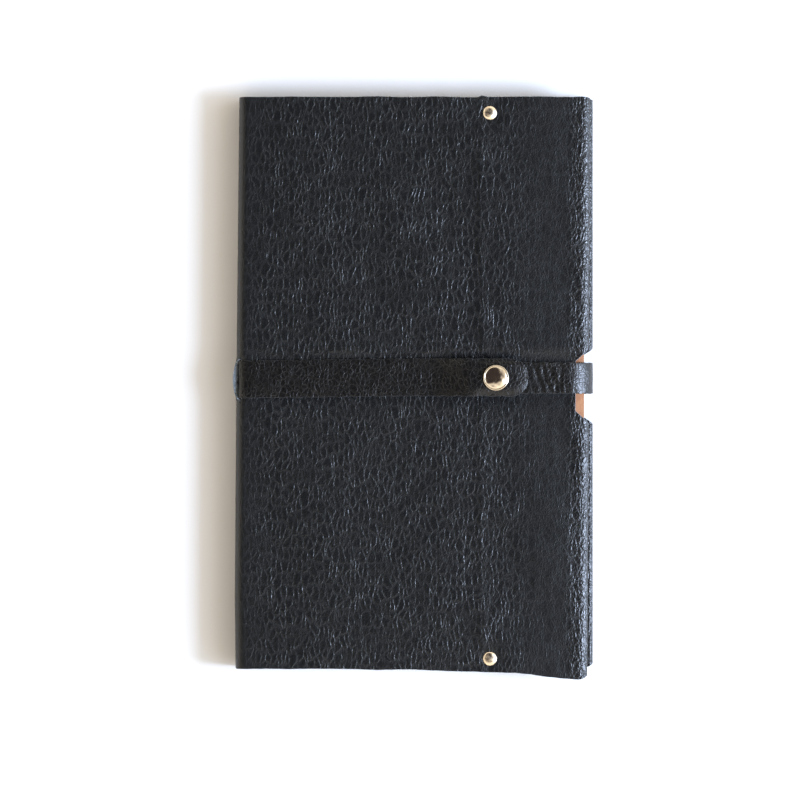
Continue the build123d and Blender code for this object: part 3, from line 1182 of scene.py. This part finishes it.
        # Grid lines are closest at the spine, the folded fore edge, the slit, the head and the tail.
        bend = self.profile.nearest(-58.0, self.outside_z)
        s_lines = spaced(((0.0, 0.45), (bend, 1.2), (self.fold_s - 9.0, 0.5),
                          (self.pocket_s + 1.0, 1.7)), self.profile.length)
        t_lines = spaced(((self.tail_y, 0.7), (self.tail_y + 6, 1.3), (-17.0, 0.8), (18.0, 1.3),
                          (self.head_y - 9, 0.8)), self.head_y)
        grain = palette.hide_front if self.side is Side.FRONT else palette.hide_back
        skin = Skin(f"hide_{self.side.value}", self.place, s_lines, t_lines, self.holes(), (0.0,),
                    0.14, self.side is Side.BACK, self.flare)
        piece = skin.build((grain, palette.suede, palette.cut_edge))
        # The hinge's bend, from the spine to the cover.
        start = np.array((-69.1, 9.8))
        end = np.array((-67.0, 12.2))
        if self.side is Side.BACK:
            start[1] = 2 * MIDDLE_Z - start[1]
            end[1] = 2 * MIDDLE_Z - end[1]
        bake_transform(piece)
        nodes = [f"cover_{self.side.value}", f"spine_bend_{self.side.value}"]
        if self.side is Side.FRONT:
            nodes.append("cover_spine")
        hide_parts(*nodes)
        return piece


# ---------------------------------------------------------------- metal


def lathe(name: str, outline: Sequence[Point], centre: Point, mirrored: bool,
          material: bpy.types.Material, steps: int = 72) -> bpy.types.Object:
    """Turns an outline about an upright axis.

    Args:
        name: the object's name.
        outline: radius and z of each point, from the axis round to the axis again.
        centre: the axis, in XY.
        mirrored: True for the back cover's piece.
        material: its finish.
        steps: how many facets go round.

    Returns:
        The object.
    """
    work = bmesh.new()
    rings = []
    for radius, z in outline:
        if mirrored:
            z = 2 * MIDDLE_Z - z
        ring = []
        for k in range(steps if radius > 1e-6 else 1):
            turn = 2 * math.pi * k / steps
            x = centre[0] + radius * math.cos(turn)
            y = centre[1] + radius * math.sin(turn)
            ring.append(work.verts.new((x * MM, y * MM, z * MM)))
        rings.append(ring)
    for low, high in zip(rings, rings[1:]):
        for k in range(steps):
            corners = [low[k % len(low)], low[(k + 1) % len(low)],
                       high[(k + 1) % len(high)], high[k % len(high)]]
            work.faces.new(list(dict.fromkeys(corners)))
    bmesh.ops.recalc_face_normals(work, faces=work.faces)
    turned = object_of(name, work, material, smooth=True)
    turned.data.set_sharp_from_angle(angle=math.radians(40))
    return turned


@dataclass
class Metalwork:
    """The snap and the four rivets.

    Attributes:
        cap_radius: radius of the snap's cap.
        cap_foot_z: underside of its rim.
        cap_top_z: top of its dome.
        cap_crown: how far its dome falls from the middle to the rim.
        rim: radius of the rim's roll.
        post_radius: radius of the post under it.
        post_foot_z: foot of that post.
        rivet_radius: radius of a rivet's cap.
        rivet_foot_z: its underside.
        rivet_top_z: its top.
        rivet_edge: height of its edge below the dome.
    """

    cap_radius: float = 5.0
    cap_foot_z: float = 17.02
    cap_top_z: float = 18.6
    cap_crown: float = 0.78
    rim: float = 0.42
    post_radius: float = 1.4
    post_foot_z: float = 15.7
    rivet_radius: float = 2.8
    rivet_foot_z: float = 11.85
    rivet_top_z: float = 13.4
    rivet_edge: float = 0.35

    def _cap_outline(self) -> list[Point]:
        """The snap's cap: a dome inside a rolled rim, on a short post."""
        dome_edge = self.cap_radius - 2 * self.rim
        rim_z = self.cap_foot_z + 0.1 + self.rim
        outline = [(0.0, self.cap_top_z)]
        for k in range(1, 15):
            r = dome_edge * k / 14
            outline.append((r, self.cap_top_z - self.cap_crown * (r / dome_edge) ** 2))
        for k in range(13):
            turn = math.radians(150 - k * 20)
            outline.append((self.cap_radius - self.rim + self.rim * math.cos(turn),
                            rim_z + self.rim * 1.15 * math.sin(turn)))
        outline += [(self.post_radius, self.cap_foot_z), (self.post_radius, self.post_foot_z),
                    (0.0, self.post_foot_z)]
        return outline

    def _rivet_outline(self) -> list[Point]:
        """A rivet's cap: a full dome with a rounded edge."""
        rise = self.rivet_top_z - self.rivet_foot_z - self.rivet_edge
        outline = []
        for k in range(15):
            turn = math.radians(90 * k / 14)
            outline.append((self.rivet_radius * math.sin(turn) ** 0.9,
                            self.rivet_foot_z + self.rivet_edge + rise * math.cos(turn) ** 0.85))
        outline[0] = (0.0, self.rivet_top_z)
        outline += [(self.rivet_radius - 0.05, self.rivet_foot_z + 0.15),
                    (self.rivet_radius - 0.2, self.rivet_foot_z), (0.0, self.rivet_foot_z)]
        return outline

    def build(self, palette: Palette, nodes: dict[str, bpy.types.Object]) -> None:
        """Makes the caps, and gives the other fittings their finish.

        Args:
            palette: the finishes.
            nodes: the frame's own objects.
        """
        cap = lathe("snap_cap_dome", self._cap_outline(), SNAP, False, palette.brass, 96)
        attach(cap, "strap_tab")
        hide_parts("snap_cap")
        log.info("%s: %.1f mm across", cap.name, 2 * self.cap_radius)
        for side in Side:
            for end, spot in zip(("head", "tail"), RIVETS):
                name = f"rivet_cap_{side.value}_{end}"
                dome = lathe(f"{name}_dome", self._rivet_outline(), spot, side is Side.BACK,
                             palette.set_brass, 56)
                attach(dome, side.value)
                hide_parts(name)
                log.info("%s: %.1f mm across", dome.name, 2 * self.rivet_radius)
        for name, node in nodes.items():
            if name.startswith(("rivet_post", "snap_socket", "snap_stud", "snap_eyelet")):
                dress(node, palette.brass)


def dress(node: bpy.types.Object, material: bpy.types.Material) -> None:
    """Gives a frame object one finish all over."""
    for slot in node.material_slots:
        slot.material = material


# ---------------------------------------------------------------- the notebook


class RowTree:
    """Geometry nodes that repeat a piece's own mesh in a row, each a little out of line."""

    def __init__(self, name: str) -> None:
        """Builds the tree.

        Args:
            name: the tree's name.
        """
        tree = bpy.data.node_groups.new(name, "GeometryNodeTree")
        self.tree = tree
        sockets = (("Geometry", "NodeSocketGeometry"), ("Count", "NodeSocketInt"),
                   ("Step", "NodeSocketVector"), ("Jitter", "NodeSocketVector"),
                   ("Seed", "NodeSocketInt"), ("Material", "NodeSocketMaterial"))
        self.keys = {}
        for label, kind in sockets:
            socket = tree.interface.new_socket(name=label, in_out="INPUT", socket_type=kind)
            self.keys[label] = socket.identifier
        tree.interface.new_socket(name="Geometry", in_out="OUTPUT",
                                  socket_type="NodeSocketGeometry")
        given = add_node(tree, "NodeGroupInput").outputs
        row = add_node(tree, "GeometryNodeMeshLine", {"mode": "OFFSET"}, {
            "Count": given["Count"], "Offset": given["Step"]})
        copies = add_node(tree, "GeometryNodeInstanceOnPoints", {}, {
            "Points": row.outputs[0], "Instance": given["Geometry"]})
        least = add_node(tree, "ShaderNodeVectorMath", {"operation": "SCALE"}, {
            0: given["Jitter"], "Scale": -1.0})
        loose = add_node(tree, "FunctionNodeRandomValue", {"data_type": "FLOAT_VECTOR"}, {
            "Min": least.outputs[0], "Max": given["Jitter"], "Seed": given["Seed"]})
        moved = add_node(tree, "GeometryNodeTranslateInstances", {}, {
            "Instances": copies.outputs[0], "Translation": loose.outputs[0]})
        real = add_node(tree, "GeometryNodeRealizeInstances", {}, {0: moved.outputs[0]})
        coat = add_node(tree, "GeometryNodeSetMaterial", {}, {
            "Geometry": real.outputs[0], "Material": given["Material"]})
        add_node(tree, "NodeGroupOutput", {}, {0: coat.outputs[0]})

    def run(self, base: bpy.types.Object, values: dict[str, object]) -> bpy.types.Object:
        """Repeats a piece.

        Args:
            base: the first piece, which is used up.
            values: the tree's inputs by name.

        Returns:
            A plain mesh object under the same name.
        """
        maker = base.modifiers.new("row", "NODES")
        maker.node_group = self.tree
        for label, value in values.items():
            maker[self.keys[label]] = value
        bpy.context.view_layer.update()
        seen = base.evaluated_get(bpy.context.evaluated_depsgraph_get())
        mesh = bpy.data.meshes.new_from_object(seen)
        name = base.name
        base.modifiers.remove(maker)
        bpy.data.objects.remove(base)
        mesh.name = name
        return object_from(name, mesh)


def prism(name: str, outline: Sequence[Point], low: float, high: float, upright: bool,
          material: bpy.types.Material) -> bpy.types.Object:
    """A solid between two copies of an outline.

    Args:
        name: the object's name.
        outline: its corners in millimetres, in XY if upright and else in XZ.
        low: where it starts along the other axis.
        high: where it ends.
        upright: True to extrude along Z, False along Y.
        material: its finish.

    Returns:
        The object.
    """
    work = bmesh.new()
    layers = []
    for level in (low, high):
        spots = [(a, b, level) if upright else (a, level, b) for a, b in outline]
        layers.append([work.verts.new(tuple(c * MM for c in spot)) for spot in spots])
    work.faces.new(layers[0])
    work.faces.new(list(reversed(layers[1])))
    for i in range(len(outline)):
        j = (i + 1) % len(outline)
        work.faces.new((layers[0][i], layers[1][i], layers[1][j], layers[0][j]))
    bmesh.ops.recalc_face_normals(work, faces=work.faces)
    return object_of(name, work, material)


def joined(name: str, pieces: Sequence[bpy.types.Object]) -> bpy.types.Object:
    """Puts several pieces into one mesh.

    Args:
        name: the new object's name.
        pieces: the pieces, which are used up.

    Returns:
        The object.
    """
    work = bmesh.new()
    for piece in pieces:
        work.from_mesh(piece.data)
    material = pieces[0].data.materials[0]
    for piece in pieces:
        bpy.data.objects.remove(piece)
    return object_of(name, work, material)


@dataclass
class Notebook:
    """A slim sewn notebook: kraft card, two halves of leaves, their folded root and its thread.

    Attributes:
        sheets: sheets in each half.
        sheet_share: a sheet's share of its place in the stack.
        corner: radius of a leaf's fore corners.
        root_layers: folds nested in the root.
        root_face: thickness of the middle sheet, which the folds stop at.
        stitches: how many stitches there are.
        sewn_length: length of the row of stitches.
        stitch_share: a stitch's share of its place in the row.
        thread_radius: the thread's radius.
        ply: how far its two plies stand out from that.
    """

    sheets: int = 18
    sheet_share: float = 0.86
    corner: float = 5.0
    root_layers: int = 7
    root_face: float = 0.12
    stitches: int = 14
    sewn_length: float = 210.0
    stitch_share: float = 0.64
    thread_radius: float = 0.19
    ply: float = 0.045

    def _sheet_outline(self, low: Vector, high: Vector) -> list[Point]:
        """One leaf: square at the root and rounded at its fore corners."""
        x0, y0 = low.x / MM, low.y / MM
        x1, y1 = high.x / MM, high.y / MM
        c = self.corner
        outline = [(x0, y1), (x0, y0)]
        for centre, start in (((x1 - c, y0 + c), -90), ((x1 - c, y1 - c), 0)):
            for k in range(7):
                turn = math.radians(start + 15 * k)
                outline.append((centre[0] + c * math.cos(turn), centre[1] + c * math.sin(turn)))
        return outline

    def _leaves(self, side: Side, tree: RowTree, material: bpy.types.Material) -> None:
        """Makes one half of the leaves as a stack of sheets.

        Args:
            side: which half.
            tree: the nodes that repeat a sheet.
            material: paper.
        """
        node = f"notebook_leaves_{side.value}"
        low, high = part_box(node)
        pitch = (high[2] - low[2]) / MM / self.sheets
        bottom = low[2] / MM
        outline = self._sheet_outline(Vector(low), Vector(high))
        # The sheets get room to lie a little out of line.
        outline = [(min(x, high[0] / MM - 0.15), y) for x, y in outline]
        thick = pitch * self.sheet_share
        base = prism(f"leaves_{side.value}", outline, bottom, bottom + thick, True, material)
        seed = 5 if side is Side.FRONT else 9
        piece = tree.run(base, {"Count": self.sheets, "Step": (0, 0, pitch * MM),
                                "Jitter": (0.14 * MM, 0.12 * MM, 0), "Seed": seed,
                                "Material": material})
        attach(piece, f"notebook_{side.value}")
        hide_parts(node)
        log.info("%s: %d sheets", piece.name, self.sheets)

    def _root(self, material: bpy.types.Material) -> None:
        """Makes the leaves' folded root: nested folds behind the middle sheet."""
        low, high = (Vector(v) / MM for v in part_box("notebook_fold"))
        parts = []
        layer = (high.z - low.z) / 2 / (self.root_layers + 0.5)
        for k in range(self.root_layers):
            inset = k * layer
            outer = self._fold_line(low, high, inset)
            inner = self._fold_line(low, high, inset + layer * 0.82)
            parts.append(prism(f"root_{k}", outer + inner[::-1], low.y, high.y, False, material))
        back = high.x - self.root_face
        flat = [(back, low.z), (high.x, low.z), (high.x, high.z), (back, high.z)]
        parts.append(prism("root_face", flat, low.y, high.y, False, material))
        piece = joined("leaves_root", parts)
        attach(piece, "spine")
        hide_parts("notebook_fold")
        log.info("%s: %d folds", piece.name, self.root_layers)

    def _fold_line(self, low: Vector, high: Vector, inset: float) -> list[Point]:
        """A fold's section: in along the tail side, round the root and back out.

        Args:
            low: the root's lowest corner, in millimetres.
            high: its highest corner.
            inset: how far inside the outermost fold it is.

        Returns:
            Its points in XZ.
        """
        middle = (low.z + high.z) / 2
        half = (high.z - low.z) / 2 - inset
        inside = high.x - self.root_face - 0.03
        depth = max(inside - (low.x + inset * 0.5), 0.2)
        line = []
        for angle in np.radians(np.linspace(-90, -270, 15)):
            x = inside + depth * math.cos(angle)
            line.append((x, middle + half * math.sin(angle)))
        return line

    def _stitches(self, tree: RowTree, material: bpy.types.Material) -> None:
        """Makes the row of stitches on the middle sheet.

        Args:
            tree: the nodes that repeat a stitch.
            material: thread.
        """
        low, high = (Vector(v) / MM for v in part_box("notebook_thread"))
        pitch = self.sewn_length / self.stitches
        length = pitch * self.stitch_share
        work = bmesh.new()
        rings = []
        steps = 22
        sides = 10
        for i in range(steps + 1):
            share = i / steps
            bow = math.sin(math.pi * share) ** 0.35
            centre = (low.x - 0.25 + 0.33 * bow, low.y + length * share, (low.z + high.z) / 2)
            ring = []
            for k in range(sides):
                turn = 2 * math.pi * k / sides
                radius = self.thread_radius + self.ply * math.cos(2 * (turn + 9 * share))
                spot = (centre[0] + radius * math.cos(turn), centre[1],
                        centre[2] + radius * math.sin(turn))
                ring.append(work.verts.new(tuple(c * MM for c in spot)))
            rings.append(ring)
        for a, b in zip(rings, rings[1:]):
            for k in range(sides):
                after = (k + 1) % sides
                work.faces.new((a[k], a[after], b[after], b[k]))
        work.faces.new(rings[0])
        work.faces.new(rings[-1])
        bmesh.ops.recalc_face_normals(work, faces=work.faces)
        piece = tree.run(object_of("stitches", work, smooth=True), {
            "Count": self.stitches, "Step": (0, pitch * MM, 0),
            "Jitter": (0, 0.1 * MM, 0.03 * MM), "Seed": 3, "Material": material})
        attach(piece, "spine")
        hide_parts("notebook_thread")
        log.info("%s: %d", piece.name, self.stitches)

    def build(self, palette: Palette, nodes: dict[str, bpy.types.Object]) -> None:
        """Makes the leaves, their root and the thread, and gives the card its finish.

        Args:
            palette: the finishes.
            nodes: the frame's own objects.
        """
        tree = RowTree("Row of copies")
        for side in Side:
            self._leaves(side, tree, palette.paper)
        self._root(palette.paper)
        self._stitches(tree, palette.linen)
        for name, node in nodes.items():
            if name.startswith("notebook_card"):
                dress(node, palette.kraft)


# ---------------------------------------------------------------- the studio


@dataclass
class Studio:
    """A pale floor under soft light from the fore edge, seen from straight above.

    Attributes:
        aim: where the camera looks, in millimetres.
        height: how high it is, in millimetres.
        lens: its focal length, in millimetres.
        room: the warm room's light.
        overhead: the light from its dim ceiling.
        window: the light from its cool window.
        ceiling_way: the direction of the ceiling's middle.
        window_way: the direction of the window's middle.
    """

    aim: Point = (-7.9, -2.3)
    height: float = 1207.0
    lens: float = 140.0
    room: tuple[float, float, float, float] = (1.4, 1.27, 1.1, 1.0)
    overhead: tuple[float, float, float, float] = (0.045, 0.035, 0.035, 1.0)
    window: tuple[float, float, float, float] = (2.2, 2.6, 3.1, 1.0)
    ceiling_way: tuple[float, float, float] = (-0.20, 0.22, 1.0)
    window_way: tuple[float, float, float] = (0.89, -0.12, 0.40)

    def _sky(self) -> None:
        """A warm room, dim overhead, with a broad cool window beyond the fore edge."""
        world = bpy.data.worlds.new("Room")
        world.use_nodes = True
        bpy.context.scene.world = world
        tree = world.node_tree
        tree.nodes.clear()
        seat = add_node(tree, "ShaderNodeTexCoord")
        light = self.room
        # Each patch of sky fades in between two cosines of the angle from its middle.
        for way, start, full, colour in ((self.ceiling_way, 0.62, 0.88, self.overhead),
                                         (self.window_way, 0.80, 0.90, self.window)):
            lean = add_node(tree, "ShaderNodeVectorMath", {"operation": "DOT_PRODUCT"}, {
                0: seat.outputs["Generated"], 1: Vector(way).normalized()})
            patch = add_node(tree, "ShaderNodeMapRange", {"interpolation_type": "SMOOTHSTEP"}, {
                0: lean.outputs["Value"], 1: start, 2: full, 3: 0.0, 4: 1.0})
            light = add_node(tree, "ShaderNodeMix", {"data_type": "RGBA"}, {
                0: patch.outputs[0], 6: light, 7: colour}).outputs[2]
        glow = add_node(tree, "ShaderNodeBackground", {}, {"Color": light, "Strength": 1.0})
        add_node(tree, "ShaderNodeOutputWorld", {}, {"Surface": glow.outputs[0]})

    @staticmethod
    def _lamp(name: str, spot: tuple[float, float, float], size: float, power: float,
              colour: str) -> None:
        """A square soft lamp that points at the cover.

        Args:
            name: its name.
            spot: where it is, in metres.
            size: its side, in metres.
            power: its power in watts.
            colour: its colour.
        """
        light = bpy.data.lights.new(name, "AREA")
        light.size = size
        light.energy = power
        light.color = linear(colour)[:3]
        lamp = bpy.data.objects.new(name, light)
        lamp.location = spot
        lamp.rotation_euler = (-Vector(spot)).to_track_quat("-Z", "Y").to_euler()
        bpy.context.scene.collection.objects.link(lamp)

    def build(self) -> None:
        """Sets the floor, the light and the camera."""
        scene = bpy.context.scene
        scene.view_settings.view_transform = "Standard"
        mesh = bpy.data.meshes.new("floor")
        reach = 4.0
        # Just under the cover, so that the two never touch.
        z = -0.2 * MM
        corners = [(-reach, -reach, z), (reach, -reach, z), (reach, reach, z), (-reach, reach, z)]
        mesh.from_pydata(corners, [], [(0, 1, 2, 3)])
        material, _ = principled("Matt white board", {
            "Base Color": linear("F6F5F3"), "Roughness": 0.9, "Specular IOR Level": 0.1})
        mesh.materials.append(material)
        object_from("floor", mesh)
        self._sky()
        self._lamp("key", (1.02, -0.14, 0.60), 0.42, 25.0, "D2E2FF")
        camera = bpy.data.objects.new("camera", bpy.data.cameras.new("camera"))
        camera.data.lens = self.lens
        camera.data.sensor_width = 36.0
        camera.location = (self.aim[0] * MM, self.aim[1] * MM, self.height * MM)
        scene.collection.objects.link(camera)
        scene.camera = camera


# ---------------------------------------------------------------- putting it together


def main() -> None:
    """Builds every piece on the frame, then the studio."""
    logging.basicConfig(level=logging.INFO, format="%(name)s: %(message)s")
    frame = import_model()
    palette = Palette()
    belt = Belt()
    belt.build(palette)
    Hide(Side.FRONT, 67.9, belt).build(palette)
    Hide(Side.BACK, 70.2, belt).build(palette)
    Metalwork().build(palette, frame["nodes"])
    Notebook().build(palette, frame["nodes"])
    Studio().build()
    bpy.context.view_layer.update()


if __name__ == "__main__":
    main()
